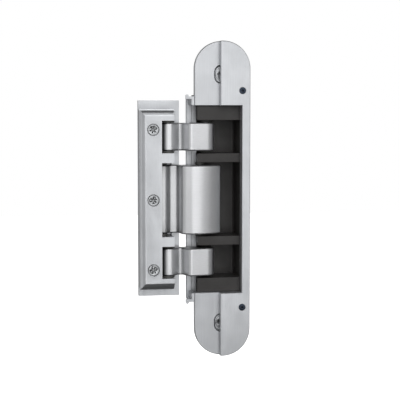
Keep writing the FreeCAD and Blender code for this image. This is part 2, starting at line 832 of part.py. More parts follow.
def build_parts():
    """Every sub-part by node name."""
    pockets = pocket_spans()
    leaf_pockets = pocket_spans(leaf_pocket_tighten)
    arms = arm_spans()
    outer = (0, 2)
    bore = pin_radius + pin_clearance
    open_bore = bore + open_pivot_clearance
    half_pin = centre_pin_half()
    parts = {
        "frame_plate": frame_plate(),
        "frame_cover": frame_cover(),
        "frame_housing": frame_housing(),
        "side_guard": side_guard(),
        "frame_fixing_screws": both_sides(lambda side: fixing_screw(side * screw_pitch / 2)),
        "cover_grub_screws": both_sides(lambda side: grub_screw(side * grub_z)),
        "housing_screws": both_sides(housing_screw),
        "frame_pin_bottom": outer_pin(outer_frame_pivot, -1),
        "frame_pin_centre": rod_z(centre_frame_pivot, pin_radius, -half_pin, half_pin),
        "frame_pin_top": outer_pin(outer_frame_pivot, 1),
        "frame_thrust_washers": washers(outer_frame_pivot, frame_washer_radius,
                                        [pockets[i] for i in outer], [arms[i] for i in outer]),
        "frame_centre_washers": washers(centre_frame_pivot, centre_frame_washer_radius, pockets[1:2], arms[1:2]),
        "outer_arm_bottom": outer_arm(-1),
        "outer_arm_top": outer_arm(1),
        "centre_arm": centre_arm(),
        "centre_arm_frame_bush": bush(centre_frame_pivot, bush_radius, bore, *arms[1]),
        "centre_arm_leaf_bush": bush(centre_leaf_pivot, open_bush_radius, open_bore, *arms[1]),
        "leaf_body": leaf_body(),
        "leaf_face_plate": leaf_face_plate(),
        "face_plate_screws": Part.makeCompound([face_screw(i * face_screw_pitch) for i in (-1, 0, 1)]),
        "leaf_pin_bottom": outer_pin(outer_leaf_pivot, -1),
        "leaf_pin_centre": rod_z(centre_leaf_pivot, pin_radius, -half_pin, half_pin),
        "leaf_pin_top": outer_pin(outer_leaf_pivot, 1),
        "leaf_thrust_washers": washers(outer_leaf_pivot, leaf_washer_radius,
                                       [leaf_pockets[i] for i in outer], [arms[i] for i in outer]),
        "leaf_centre_washers": washers(centre_leaf_pivot, centre_leaf_washer_radius, leaf_pockets[1:2], arms[1:2]),
        "clamp_plate": clamp_plate(),
        "clamp_screws": both_sides(clamp_screw),
        "pane_sleeves": both_sides(pane_sleeve),
        "gasket_fixed_jaw": gasket(clamp_left + jaw_thickness),
        "gasket_clamp_plate": gasket(leaf_right - jaw_thickness - gasket_thickness),
    }
    for name, index in (("bottom", 0), ("top", 2)):
        parts["frame_bush_" + name] = bush(outer_frame_pivot, bush_radius, bore, *arms[index])
        parts["leaf_bush_" + name] = bush(outer_leaf_pivot, bush_radius, bore, *arms[index])
    return parts


def main():
    """Write one STEP file per sub-part."""
    os.makedirs("parts", exist_ok=True)
    for name, shape in build_parts().items():
        shape.translate(V(0, -plate_thickness, 0))
        shape.exportStep("parts/" + name + ".step")


main()
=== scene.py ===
"""Looks of a concealed door hinge, shown opened flat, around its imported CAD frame.

X runs to the right across the frame plate, Y runs into the door frame and Z is up. Lengths of
the hinge and its finishes are millimetres in the part's own frame, and those of the studio metres.
"""
import json
import logging
import math
from dataclasses import dataclass, field
from enum import Enum
from typing import Any, Optional

import bpy
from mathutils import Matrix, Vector

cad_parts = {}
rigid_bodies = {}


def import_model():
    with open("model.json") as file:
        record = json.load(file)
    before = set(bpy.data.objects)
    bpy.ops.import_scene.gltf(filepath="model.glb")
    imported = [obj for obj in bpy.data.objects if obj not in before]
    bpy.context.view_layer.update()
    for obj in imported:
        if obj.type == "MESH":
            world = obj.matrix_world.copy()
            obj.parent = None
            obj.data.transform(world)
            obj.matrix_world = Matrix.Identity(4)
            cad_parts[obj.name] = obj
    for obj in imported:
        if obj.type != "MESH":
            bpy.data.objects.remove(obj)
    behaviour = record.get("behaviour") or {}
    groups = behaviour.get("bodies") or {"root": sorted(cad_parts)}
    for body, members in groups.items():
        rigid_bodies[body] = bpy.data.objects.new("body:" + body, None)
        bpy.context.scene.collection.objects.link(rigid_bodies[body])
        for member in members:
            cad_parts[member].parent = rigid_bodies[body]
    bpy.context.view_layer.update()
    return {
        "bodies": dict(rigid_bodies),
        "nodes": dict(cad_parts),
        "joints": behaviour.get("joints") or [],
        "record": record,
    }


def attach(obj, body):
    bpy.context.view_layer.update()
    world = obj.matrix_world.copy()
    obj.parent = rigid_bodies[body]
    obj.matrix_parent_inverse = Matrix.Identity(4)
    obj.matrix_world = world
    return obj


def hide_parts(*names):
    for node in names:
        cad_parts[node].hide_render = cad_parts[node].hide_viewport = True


log = logging.getLogger("hinge")
MM = 0.001
METRE = 1000.0
WHITE = (1.0, 1.0, 1.0, 1.0)

# Painted shade: dark colour mixed in where ambient occlusion finds narrow gaps and recesses
CREVICE_PAINTED_SHADE = "#262523"
# Ranges that nearly all values of one noise pattern and of two multiplied ones lie in
NOISE_LOW, NOISE_HIGH = 0.30, 0.70
PRODUCT_LOW, PRODUCT_HIGH = 0.12, 0.40
# Openness of a point that gets the full painted shade, and of one that gets none
FULL_SHADE_OPENNESS, UNSHADED_OPENNESS = 0.30, 0.75
# Pointiness of an edge from which wear starts, and of one that is worn bright
WORN_START, WORN_FULL = 0.52, 0.60
# Socket numbers of a colour mix
FACTOR, FIRST, SECOND, MIXED = 0, 6, 7, 2


def linear_rgba(code: str, alpha: float = 1.0) -> tuple[float, float, float, float]:
    """Turns an sRGB hex colour into linear values.

    Args:
        code: Colour such as "#CDCFD2".
        alpha: Alpha of the result.

    Returns:
        Linear red, green, blue and alpha.
    """
    values = []
    for start in (1, 3, 5):
        share = int(code[start:start + 2], 16) / 255
        values.append(share / 12.92 if share <= 0.04045 else ((share + 0.055) / 1.055) ** 2.4)
    return (values[0], values[1], values[2], alpha)


def add_node(
    tree: bpy.types.NodeTree,
    kind: str,
    settings: Optional[dict[str, Any]] = None,
    inputs: Optional[dict[Any, Any]] = None,
) -> bpy.types.Node:
    """Adds a node with its settings and links.

    Args:
        tree: Node tree that gets the node.
        kind: Blender's name of the node's type.
        settings: Attribute name to value.
        inputs: Socket name or number to a value, or to an output socket to link.

    Returns:
        The new node.
    """
    node = tree.nodes.new(kind)
    for key, value in (settings or {}).items():
        setattr(node, key, value)
    for key, value in (inputs or {}).items():
        socket = node.inputs[key]
        if isinstance(value, bpy.types.NodeSocket):
            tree.links.new(value, socket)
        else:
            socket.default_value = value
    return node


class Grain(Enum):
    """Direction in which a metal was brushed, as the stretch of its pattern along X, Y and Z."""

    ALONG_Z = (1.0, 1.0, 0.02)
    ALONG_X = (0.03, 1.0, 1.0)
    BLASTED = (1.0, 1.0, 1.0)


class Drive(Enum):
    """Recess in the head of a screw, with the size of its deep end as a share of its front."""

    CROSS = 0.35
    LOBED = 0.60
    HEX = 0.45


class Head(Enum):
    """Form of a screw's head."""

    COUNTERSUNK = "countersunk"
    FLAT = "flat"
    NONE = "none"


@dataclass(frozen=True)
class Finish:
    """What all finishes of the hinge have.

    The colour drifts towards its shade, the roughness swings to both sides, and the relief is
    the height of the surface's pattern.
    """

    name: str
    colour: str
    shade: str
    roughness: float
    swing: float
    relief: float

    def start(self) -> tuple[bpy.types.Material, bpy.types.NodeTree, bpy.types.NodeSocket]:
        """Starts the material of this finish.

        Returns:
            The material, its node tree and the place of each point on the piece.
        """
        material = bpy.data.materials.new(self.name)
        material.use_nodes = True
        place = add_node(material.node_tree, "ShaderNodeTexCoord").outputs["Object"]
        return material, material.node_tree, place

    def gloss(self, tree: bpy.types.NodeTree, pattern: bpy.types.NodeSocket) -> bpy.types.NodeSocket:
        """Lets the roughness follow a noise pattern.

        Args:
            tree: Node tree of the material.
            pattern: Value of the pattern.

        Returns:
            The roughness.
        """
        gloss = add_node(tree, "ShaderNodeMapRange", {}, {
            "Value": pattern, "From Min": NOISE_LOW, "From Max": NOISE_HIGH,
            "To Min": self.roughness - self.swing, "To Max": self.roughness + self.swing,
        })
        return gloss.outputs["Result"]

    def coat(
        self,
        tree: bpy.types.NodeTree,
        colour: bpy.types.NodeSocket,
        roughness: bpy.types.NodeSocket,
        height: bpy.types.NodeSocket,
    ) -> bpy.types.Node:
        """Joins colour, roughness and relief to the shader.

        Args:
            tree: Node tree of the material.
            colour: Colour of the surface.
            roughness: Roughness of the surface.
            height: Pattern that gives the relief.

        Returns:
            The shader.
        """
        shader = tree.nodes["Principled BSDF"]
        bump = add_node(tree, "ShaderNodeBump", {}, {
            "Strength": 1.0, "Distance": self.relief * MM, "Height": height,
        })
        tree.links.new(colour, shader.inputs["Base Color"])
        tree.links.new(roughness, shader.inputs["Roughness"])
        tree.links.new(bump.outputs["Normal"], shader.inputs["Normal"])
        return shader


@dataclass(frozen=True)
class MetalFinish(Finish):
    """A bare or plated metal whose grain shows as fine streaks in gloss and relief.

    It is mottled in clouds, its edges are worn brighter, and its crevices are darkened with painted shade.
    """

    grain: Grain
    grain_width: float
    mottle: float = 0.42
    cloud_width: float = 11.1
    edge_gloss: float = 0.10
    # Strength, reach in millimetres and samples of the painted shade in crevices
    crevice_shade: float = 0.35
    shade_reach: float = 0.8
    shade_samples: int = 8

    def streaks(self, tree: bpy.types.NodeTree, place: bpy.types.NodeSocket) -> bpy.types.NodeSocket:
        """Draws the brushed lines.

        Args:
            tree: Node tree of the material.
            place: Place of each point on the piece.

        Returns:
            Value of the lines.
        """
        stretch = tuple(METRE / self.grain_width * share for share in self.grain.value)
        stretched = add_node(tree, "ShaderNodeMapping", {}, {"Vector": place, "Scale": stretch})
        lines = add_node(tree, "ShaderNodeTexNoise", {}, {
            "Vector": stretched.outputs["Vector"], "Scale": 1.0, "Detail": 3.0,
        })
        return lines.outputs["Fac"]

    def mottled(
        self, tree: bpy.types.NodeTree, place: bpy.types.NodeSocket, lines: bpy.types.NodeSocket,
    ) -> bpy.types.NodeSocket:
        """Mixes the two tones of the plating by its lines and by soft clouds.

        Args:
            tree: Node tree of the material.
            place: Place of each point on the piece.
            lines: Value of the brushed lines.

        Returns:
            The mottled colour.
        """
        clouds = add_node(tree, "ShaderNodeTexNoise", {}, {
            "Vector": place, "Scale": METRE / self.cloud_width, "Detail": 2.0,
        })
        product = add_node(tree, "ShaderNodeMath", {"operation": "MULTIPLY"}, {
            0: lines, 1: clouds.outputs["Fac"],
        })
        tone = add_node(tree, "ShaderNodeMapRange", {}, {
            "Value": product.outputs[0], "From Min": PRODUCT_LOW, "From Max": PRODUCT_HIGH,
            "To Min": self.mottle, "To Max": 0.0,
        })
        colour = add_node(tree, "ShaderNodeMix", {"data_type": "RGBA"}, {
            FACTOR: tone.outputs["Result"], FIRST: linear_rgba(self.colour), SECOND: linear_rgba(self.shade),
        })
        return colour.outputs[MIXED]

    def paint_crevice_shade(self, tree: bpy.types.NodeTree, unshaded: bpy.types.NodeSocket) -> bpy.types.NodeSocket:
        """Paints shade into the crevices by ambient occlusion.

        Args:
            tree: Node tree of the material.
            unshaded: Colour without the painted shade.

        Returns:
            The colour with the painted shade.
        """
        # Painted shade: ambient occlusion darkens gaps and recesses towards a dark colour
        openness = add_node(
            tree, "ShaderNodeAmbientOcclusion", {"samples": self.shade_samples},
            {"Distance": self.shade_reach * MM},
        )
        shade_share = add_node(tree, "ShaderNodeMapRange", {}, {
            "Value": openness.outputs["AO"], "From Min": FULL_SHADE_OPENNESS, "From Max": UNSHADED_OPENNESS,
            "To Min": self.crevice_shade, "To Max": 0.0,
        })
        colour = add_node(tree, "ShaderNodeMix", {"data_type": "RGBA"}, {
            FACTOR: shade_share.outputs["Result"], FIRST: unshaded, SECOND: linear_rgba(CREVICE_PAINTED_SHADE),
        })
        return colour.outputs[MIXED]

    def worn(self, tree: bpy.types.NodeTree, roughness: bpy.types.NodeSocket) -> bpy.types.NodeSocket:
        """Makes the edges glossier.

        Args:
            tree: Node tree of the material.
            roughness: Roughness without wear.

        Returns:
            The roughness with wear.
        """
        wear = add_node(tree, "ShaderNodeMapRange", {}, {
            "Value": add_node(tree, "ShaderNodeNewGeometry").outputs["Pointiness"],
            "From Min": WORN_START, "From Max": WORN_FULL, "To Min": 0.0, "To Max": self.edge_gloss,
        })
        rest = add_node(tree, "ShaderNodeMath", {"operation": "SUBTRACT"}, {
            0: roughness, 1: wear.outputs["Result"],
        })
        return rest.outputs[0]

    def build(self) -> bpy.types.Material:
        """Builds the material of this finish.

        Returns:
            The material.
        """
        material, tree, place = self.start()
        lines = self.streaks(tree, place)
        colour = self.paint_crevice_shade(tree, self.mottled(tree, place, lines))
        shader = self.coat(tree, colour, self.worn(tree, self.gloss(tree, lines)), lines)
        shader.inputs["Metallic"].default_value = 1.0
        return material


@dataclass(frozen=True)
class CoatFinish(Finish):
    """A coating, polymer or rubber: a skin with a fine pitted surface and a little dust in its tone."""

    grit: float
    specular: float = 0.5
    cloud_width: float = 8.3

    def build(self) -> bpy.types.Material:
        """Builds the material of this finish.

        Returns:
            The material.
        """
        material, tree, place = self.start()
        pits = add_node(tree, "ShaderNodeTexNoise", {}, {
            "Vector": place, "Scale": METRE / self.grit, "Detail": 2.0,
        })
        clouds = add_node(tree, "ShaderNodeTexNoise", {}, {
            "Vector": place, "Scale": METRE / self.cloud_width, "Detail": 3.0,
        })
        colour = add_node(tree, "ShaderNodeMix", {"data_type": "RGBA"}, {
            FACTOR: clouds.outputs["Fac"], FIRST: linear_rgba(self.colour), SECOND: linear_rgba(self.shade),
        })
        roughness = self.gloss(tree, clouds.outputs["Fac"])
        shader = self.coat(tree, colour.outputs[MIXED], roughness, pits.outputs["Fac"])
        shader.inputs["Specular IOR Level"].default_value = self.specular
        return material


# Satin nickel on brushed zinc: soft grey sheen with fine upright streaks about 0.3 mm apart,
# drawn coarser than the real 0.05 mm lines so that they show
SATIN_NICKEL = MetalFinish(
    "satin_nickel_brushed", "#C9CBCE", "#A9ABAE", roughness=0.46, swing=0.08, relief=0.020,
    grain=Grain.ALONG_Z, grain_width=0.32,
)
# The arms are linished across before plating: the same nickel, glossier, with faint level streaks; its colour
# is painted lighter than the plates' to stand in for more light on the arms, and painted shade darkens them
# where they run into their pockets
SATIN_ARM = MetalFinish(
    "satin_nickel_linished", "#DCDDDF", "#C6C7C9", roughness=0.38, swing=0.05, relief=0.010,
    grain=Grain.ALONG_X, grain_width=0.30, crevice_shade=0.80, shade_reach=9.0,
)
# Bright zinc plating on the screws: small clear highlights, and painted shade darkening the recesses
BRIGHT_ZINC = MetalFinish(
    "bright_zinc_plate", "#BDBFC1", "#96989B", roughness=0.38, swing=0.05, relief=0.004,
    grain=Grain.BLASTED, grain_width=0.3, crevice_shade=0.97, shade_reach=1.3,
)
# Blued steel of the grub screws: dark with a cold tint
BLUED_STEEL = MetalFinish(
    "blued_steel", "#3C434E", "#2A303A", roughness=0.36, swing=0.05, relief=0.004,
    grain=Grain.BLASTED, grain_width=0.3,
)
# Ground steel of the pins: a fine even grain that reads as a soft sheen
GROUND_STEEL = MetalFinish(
    "ground_steel", "#BBBCBE", "#94969A", roughness=0.30, swing=0.04, relief=0.004,
    grain=Grain.BLASTED, grain_width=0.2,
)
# Black powder coat of the housing: near black with fine orange peel of about 0.3 mm
BLACK_COAT = CoatFinish(
    "black_powder_coat", "#363433", "#2E2C2B", roughness=0.50, swing=0.06, relief=0.010, grit=0.3,
)
# Moulded acetal of the bushes and washers: dark with graphite and slightly waxy
FILLED_ACETAL = CoatFinish(
    "acetal_graphite_filled", "#5A5A57", "#4C4C4A", roughness=0.42, swing=0.06, relief=0.003, grit=0.4,
)
# Rubber of the pane gaskets: black, dull, with a fine moulded grain
GASKET_RUBBER = CoatFinish(
    "epdm_rubber_moulded", "#1C1C1B", "#262625", roughness=0.80, swing=0.05, relief=0.012, grit=0.35,
    specular=0.35,
)

SLOT_FINISH = {
    "satin_nickel": SATIN_NICKEL,
    "satin_arm": SATIN_ARM,
    "black_housing": BLACK_COAT,
    "bright_screw": BRIGHT_ZINC,
    "dark_screw": BLUED_STEEL,
    "pin_steel": GROUND_STEEL,
    "bush_polymer": FILLED_ACETAL,
    "gasket_rubber": GASKET_RUBBER,
}


class Workshop:
    """Keeps the imported frame and its materials, and does the handwork that all pieces share."""

    # Corners nearer than this are one corner, and faces that turn by less than this are one face
    doubles: float = 0.002
    flat_degrees: float = 0.8
    # An edge that turns by more than this is sharp
    sharp_degrees: float = 34.0

    def __init__(self, frame: dict[str, Any]) -> None:
        """Builds every finish once.
        """
        self.nodes: dict[str, bpy.types.Object] = frame["nodes"]
        self.materials = {slot: finish.build() for slot, finish in SLOT_FINISH.items()}
        self.slots = {entry["node"]: entry["material_slot"] for entry in frame["record"]["subparts"]}
        self.shown = set(self.nodes)

    @staticmethod
    def take_up(piece: bpy.types.Object) -> None:
        """Selects one piece alone and makes it the active one.

        Args:
            piece: Piece to work on.
        """
        if bpy.context.object and bpy.context.object.mode != "OBJECT":
            bpy.ops.object.mode_set(mode="OBJECT")
        bpy.ops.object.select_all(action="DESELECT")
        piece.select_set(True)
        bpy.context.view_layer.objects.active = piece

    def copy_mesh(self, model: bpy.types.Object, name: str) -> bpy.types.Object:
        """Copies an object into a piece with its own mesh and takes it up.

        Args:
            model: CAD node or modelled piece.
            name: Name of the new piece.

        Returns:
            The new piece.
        """
        piece = bpy.data.objects.new(name, model.data.copy())
        bpy.context.collection.objects.link(piece)
        self.take_up(piece)
        return piece

    def soften(
        self, piece: bpy.types.Object, width: float, steps: int = 2, sharp: float = sharp_degrees,
    ) -> None:
        """Rounds the sharp edges of a piece and smooths its curved faces.

        Args:
            piece: Piece to finish.
            width: Width of the rounded edge.
            steps: Number of faces across the edge.
            sharp: Edges turning by more than this many degrees are rounded.
        """
        self.take_up(piece)
        bevel = piece.modifiers.new("edge", "BEVEL")
        bevel.width = width * MM
        bevel.segments = steps
        bevel.limit_method = "ANGLE"
        bevel.angle_limit = math.radians(sharp)
        bevel.use_clamp_overlap = False
        bevel.miter_outer = "MITER_ARC"
        bpy.ops.object.modifier_apply(modifier=bevel.name)
        bpy.ops.object.shade_smooth_by_angle(angle=math.radians(sharp))
        weights = piece.modifiers.new("weights", "WEIGHTED_NORMAL")
        weights.keep_sharp = True
        bpy.ops.object.modifier_apply(modifier=weights.name)

    def cut_away(self, piece: bpy.types.Object, tool: bpy.types.Object) -> None:
        """Cuts a tool's volume out of a piece and removes the tool.

        Args:
            piece: Piece to cut.
            tool: Closed tool.
        """
        self.take_up(piece)
        cut = piece.modifiers.new("cut", "BOOLEAN")
        cut.operation = "DIFFERENCE"
        cut.solver = "EXACT"
        cut.object = tool
        bpy.ops.object.modifier_apply(modifier=cut.name)
        bpy.data.objects.remove(tool)

    def hand_over(self, piece: bpy.types.Object, body: str, node: str) -> None:
        """Gives a finished piece its material and its place in the frame.

        Args:
            piece: Finished piece.
            body: Body that carries it.
            node: CAD node that it stands for.
        """
        slot = self.slots[node]
        piece.data.materials.clear()
        piece.data.materials.append(self.materials[slot])
        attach(piece, body)
        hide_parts(node)
        self.shown.discard(node)
        log.info("%s: %d faces, on %s", piece.name, len(piece.data.polygons), body)

    def rounded_copy(self, node: str, body: str, width: float, whole: bool = True) -> None:
        """Replaces a CAD node by a copy with rounded edges.

        Args:
            node: Name of the CAD node.
            body: Body that carries it.
            width: Width of the rounded edge.
            whole: Makes its flat faces whole first. A face with round holes in it would tear by that.
        """
        piece = self.copy_mesh(self.nodes[node], node + "_finished")
        bpy.ops.object.mode_set(mode="EDIT")
        bpy.ops.mesh.select_all(action="SELECT")
        bpy.ops.mesh.customdata_custom_splitnormals_clear()
        bpy.ops.mesh.remove_doubles(threshold=self.doubles * MM)
        if whole:
            bpy.ops.mesh.dissolve_limited(angle_limit=math.radians(self.flat_degrees))
        bpy.ops.object.mode_set(mode="OBJECT")
        self.soften(piece, width)
        self.hand_over(piece, body, node)

    def dress_rest(self) -> None:
        """Gives every CAD node that still shows the finish of its slot."""
        for node in sorted(self.shown):
            mesh = self.nodes[node].data
            mesh.materials.clear()
            mesh.materials.append(self.materials[self.slots[node]])
            log.info("%s: kept from CAD", node)


@dataclass(frozen=True)
class Seat:
    """Where one screw sits: middle of its front, turn about Z in degrees and spin of its drive in radians."""

    name: str
    at: tuple[float, float, float]
    turn: float = 0.0
    spin: float = 0.0


@dataclass(frozen=True)
class Screw:
    """A kind of screw, modelled once along +Y with the middle of its front at the origin.

    The drive's size is half the width of a cross, or the radius of lobes or of a hexagon. The
    land is the straight rim of a countersunk head, and the point's end is a share of the shank.
    """

    head: Head
    head_radius: float
    head_height: float
    shank_radius: float
    length: float
    drive: Drive
    drive_size: float
    drive_depth: float = 1.2
    land: float = 0.35
    point: float = 0.0
    point_end: float = 0.2
    rim: float = 0.12
    rim_steps: int = 3
    sides: int = 48
    sharp_degrees: float = 30.0

    def select_end(self, piece: bpy.types.Object) -> None:
        """Selects the faces at the back end of a mesh and stays in edit mode.

        Args:
            piece: Piece that is being modelled.
        """
        near, facing = 0.001 * MM, 0.9
        bpy.ops.mesh.select_all(action="DESELECT")
        bpy.ops.object.mode_set(mode="OBJECT")
        back = max(vertex.co.y for vertex in piece.data.vertices)
        for face in piece.data.polygons:
            face.select = abs(face.center.y - back) < near and abs(face.normal.y) > facing
        bpy.ops.object.mode_set(mode="EDIT")

    def push(self, distance: float, size: float = 1.0) -> None:
        """Extrudes the selected end along Y and scales it.

        Args:
            distance: Way along +Y.
            size: Scale of the new end.
        """
        bpy.ops.mesh.extrude_region_move(TRANSFORM_OT_translate={"value": (0, distance * MM, 0)})
        if size != 1.0:
            bpy.ops.transform.resize(value=(size, 1, size), center_override=(0, 0, 0))

    def blank(self) -> bpy.types.Object:
        """Models the screw without its recess.

        Returns:
            The blank with sharp edges.
        """
        first = self.land if self.head is Head.COUNTERSUNK else self.head_height
        bpy.ops.object.select_all(action="DESELECT")
        bpy.ops.mesh.primitive_cylinder_add(
            vertices=self.sides, radius=self.head_radius * MM, depth=first * MM,
            location=(0, first * MM / 2, 0), rotation=(math.pi / 2, 0, 0),
        )
        piece = bpy.context.object
        bpy.ops.object.transform_apply(location=True, rotation=True, scale=True)
        bpy.ops.object.mode_set(mode="EDIT")
        self.select_end(piece)
        if self.head is Head.COUNTERSUNK:
            self.push(self.head_height - first, self.shank_radius / self.head_radius)
        elif self.head is Head.FLAT:
            bpy.ops.mesh.inset(thickness=(self.head_radius - self.shank_radius) * MM)
        if self.head is not Head.NONE:
            self.push(self.length - self.head_height - self.point)
        if self.point:
            self.push(self.point, self.point_end)
        bpy.ops.object.mode_set(mode="OBJECT")
        return piece

    def punch(self, tool: bpy.types.Object, middle: tuple[float, float, float]) -> bpy.types.Object:
        """Narrows the deep end of a new cutting tool, as on a punch.

        Args:
            tool: Tool that is being modelled.
            middle: Middle of the end, in metres.

        Returns:
            The finished tool.
        """
        share = self.drive.value
        bpy.ops.object.transform_apply(location=True, rotation=True, scale=True)
        bpy.ops.object.mode_set(mode="EDIT")
        self.select_end(tool)
        bpy.ops.transform.resize(value=(share, 1, share), center_override=middle)
        bpy.ops.object.mode_set(mode="OBJECT")
        return tool

    def cross_wing(self, turn: float) -> bpy.types.Object:
        """Models the tool for one of the two bars of a cross.

        Args:
            turn: Turn about Y in radians.

        Returns:
            The tool.
        """
        thickness = 0.55
        bpy.ops.mesh.primitive_cube_add(size=1, location=(0, 0, 0))
        wing = bpy.context.object
        wing.scale = (2 * self.drive_size * MM, 2 * self.drive_depth * MM, thickness * self.drive_size * MM)
        wing.rotation_euler = (0, turn, 0)
        return self.punch(wing, (0, 0, 0))

    def rod(
        self, radius: float, sides: int, depth: float, reach: float = 0.0, turn: float = 0.0,
    ) -> bpy.types.Object:
        """Models a round or six sided tool.

        Args:
            radius: Radius of its front.
            sides: Number of its sides.
            depth: Depth that it cuts.
            reach: Distance of its middle from the screw's axis.
            turn: Turn of that distance about the axis, in radians.

        Returns:
            The tool.
        """
        middle = (reach * MM * math.cos(turn), 0, reach * MM * math.sin(turn))
        bpy.ops.mesh.primitive_cylinder_add(
            vertices=sides, radius=radius * MM, depth=2 * depth * MM,
            location=middle, rotation=(math.pi / 2, 0, 0),
        )
        return self.punch(bpy.context.object, middle)

    def lobes(self, spin: float) -> list[bpy.types.Object]:
        """Models the tools for six lobes and their core.

        Each cuts a hundredth deeper than the last, so that no two floors share a plane.

        Args:
            spin: Turn of the lobes about the axis, in radians.

        Returns:
            The tools.
        """
        sides, step = 24, 0.01
        lobe, reach, core = 0.26 * self.drive_size, 0.76 * self.drive_size, 0.70 * self.drive_size
        tools = []
        for index in range(6):
            depth = self.drive_depth * (1 + step * index)
            tools.append(self.rod(lobe, sides, depth, reach, index * math.pi / 3 + spin))
        tools.append(self.rod(core, sides, self.drive_depth * (1 + step * len(tools))))
        return tools

    def recess(self, spin: float) -> list[bpy.types.Object]:
        """Models the tools that cut the drive recess.

        Args:
            spin: Turn of a cross or of lobes about the axis, in radians.

        Returns:
            Closed tools, to be cut away one after another.
        """
        if self.drive is Drive.CROSS:
            return [self.cross_wing(turn + spin) for turn in (0, math.pi / 2)]
        if self.drive is Drive.LOBED:
            return self.lobes(spin)
        return [self.rod(self.drive_size, 6, self.drive_depth)]

    def model(self, shop: Workshop, spin: float) -> bpy.types.Object:
        """Models the whole screw.

        Args:
            shop: Workshop that does the cutting and finishing.
            spin: Turn of its drive about the axis, in radians.

        Returns:
            The model, to be copied.
        """
        piece = self.blank()
        shop.soften(piece, self.rim, self.rim_steps, self.sharp_degrees)
        for tool in self.recess(spin):
            shop.cut_away(piece, tool)
        shop.take_up(piece)
        bpy.ops.object.shade_smooth_by_angle(angle=math.radians(self.sharp_degrees))
        return piece

    def set_in(self, shop: Workshop, body: str, node: str, seats: list[Seat]) -> None:
        """Models the screw once for each spin of its drive and sets a copy of it in each seat.

        Args:
            shop: Workshop with the frame and the materials.
            body: Body that carries the screws.
            node: CAD node that they stand for together.
            seats: Seats of the screws.
        """
        models = {spin: self.model(shop, spin) for spin in sorted({seat.spin for seat in seats})}
        for seat in seats:
            screw = shop.copy_mesh(models[seat.spin], seat.name)
            screw.location = tuple(value * MM for value in seat.at)
            screw.rotation_euler = (0, 0, math.radians(seat.turn))
            bpy.ops.object.transform_apply(location=True, rotation=True, scale=True)
            shop.hand_over(screw, body, node)
        for model in models.values():
            bpy.data.objects.remove(model)


@dataclass
class FramePart:
    """The side that is let into the door frame: plate, cover, housing, guard and their screws."""

    body: str = "frame_part"
    edges: dict[str, float] = field(default_factory=lambda: {
        "frame_housing": 0.15, "side_guard": 0.10,
        "frame_thrust_washers": 0.12, "frame_centre_washers": 0.08,
    })
    fixing_screw: Screw = Screw(
        Head.COUNTERSUNK, head_radius=3.1, head_height=1.7, shank_radius=2.1, length=37.4,
        drive=Drive.CROSS, drive_size=1.9, drive_depth=1.3, point=4.2,
    )
    fixing_front: float = -2.4
    fixing_height: float = 63.3
    lower_spin: float = 0.5
    upper_spin: float = 0.2
    grub_screw: Screw = Screw(
        Head.NONE, head_radius=1.75, head_height=3.25, shank_radius=1.75, length=3.25,
        drive=Drive.HEX, drive_size=1.04, sides=32,
    )
    grub_x: float = 10.0
    grub_front: float = -6.25
    grub_height: float = 55.1

    def build(self, shop: Workshop) -> None:
        """Builds and dresses the frame part.

        Args:
            shop: Workshop with the frame and the materials.
        """
        for node, width in self.edges.items():
            shop.rounded_copy(node, self.body, width)
        self.fixing_screw.set_in(shop, self.body, "frame_fixing_screws", [
            Seat("fixing_screw_lower", (0, self.fixing_front, -self.fixing_height), spin=self.lower_spin),
            Seat("fixing_screw_upper", (0, self.fixing_front, self.fixing_height), spin=self.upper_spin),
        ])
        self.grub_screw.set_in(shop, self.body, "cover_grub_screws", [
            Seat("grub_screw_lower", (self.grub_x, self.grub_front, -self.grub_height)),
            Seat("grub_screw_upper", (self.grub_x, self.grub_front, self.grub_height)),
        ])


@dataclass
class CrossingArms:
    """The two outer arms and the centre arm."""

    outer_body: str = "outer_arms"
    centre_body: str = "centre_arm_body"
    edge: float = 0.22

    def build(self, shop: Workshop) -> None:
        """Builds and dresses the arms.

        Args:
            shop: Workshop with the frame and the materials.
        """
        for node in ("outer_arm_bottom", "outer_arm_top"):
            shop.rounded_copy(node, self.outer_body, self.edge, whole=False)
        shop.rounded_copy("centre_arm", self.centre_body, self.edge, whole=False)


@dataclass
class LeafPart:
    """The side that grips the pane: face plate, body, clamp, gaskets and screws."""

    body: str = "leaf_part"
    edges: dict[str, float] = field(default_factory=lambda: {
        "leaf_body": 0.20, "clamp_plate": 0.3,
        "leaf_thrust_washers": 0.12, "leaf_centre_washers": 0.12,
        "gasket_fixed_jaw": 0.25, "gasket_clamp_plate": 0.25,
    })
    face_screw: Screw = Screw(
        Head.FLAT, head_radius=2.65, head_height=1.4, shank_radius=1.25, length=4.85,
        drive=Drive.LOBED, drive_size=1.85,
    )
    face_screw_x: float = -34.95
    face_screw_front: float = -2.85
    face_screw_pitch: float = 35.5
    face_screw_spins: tuple[float, float, float] = (0.1, 0.45, 0.25)
    clamp_screw: Screw = Screw(
        Head.COUNTERSUNK, head_radius=4.6, head_height=2.4, shank_radius=2.5, length=16.2,
        drive=Drive.HEX, drive_size=1.7, drive_depth=1.6,
    )
    clamp_front: float = -20.4
    clamp_y: float = 29.0
    clamp_height: float = 28.0
    clamp_turn: float = 90.0

    def build(self, shop: Workshop) -> None:
        """Builds and dresses the leaf part.

        Args:
            shop: Workshop with the frame and the materials.
        """
        for node, width in self.edges.items():
            shop.rounded_copy(node, self.body, width)
        seats = []
        for index, spin in enumerate(self.face_screw_spins):
            height = (index - 1) * self.face_screw_pitch
            at = (self.face_screw_x, self.face_screw_front, height)
            seats.append(Seat(f"face_screw_{index + 1}", at, spin=spin))
        self.face_screw.set_in(shop, self.body, "face_plate_screws", seats)
        self.clamp_screw.set_in(shop, self.body, "clamp_screws", [
            Seat("clamp_screw_lower", (self.clamp_front, self.clamp_y, -self.clamp_height), self.clamp_turn),
            Seat("clamp_screw_upper", (self.clamp_front, self.clamp_y, self.clamp_height), self.clamp_turn),
        ])


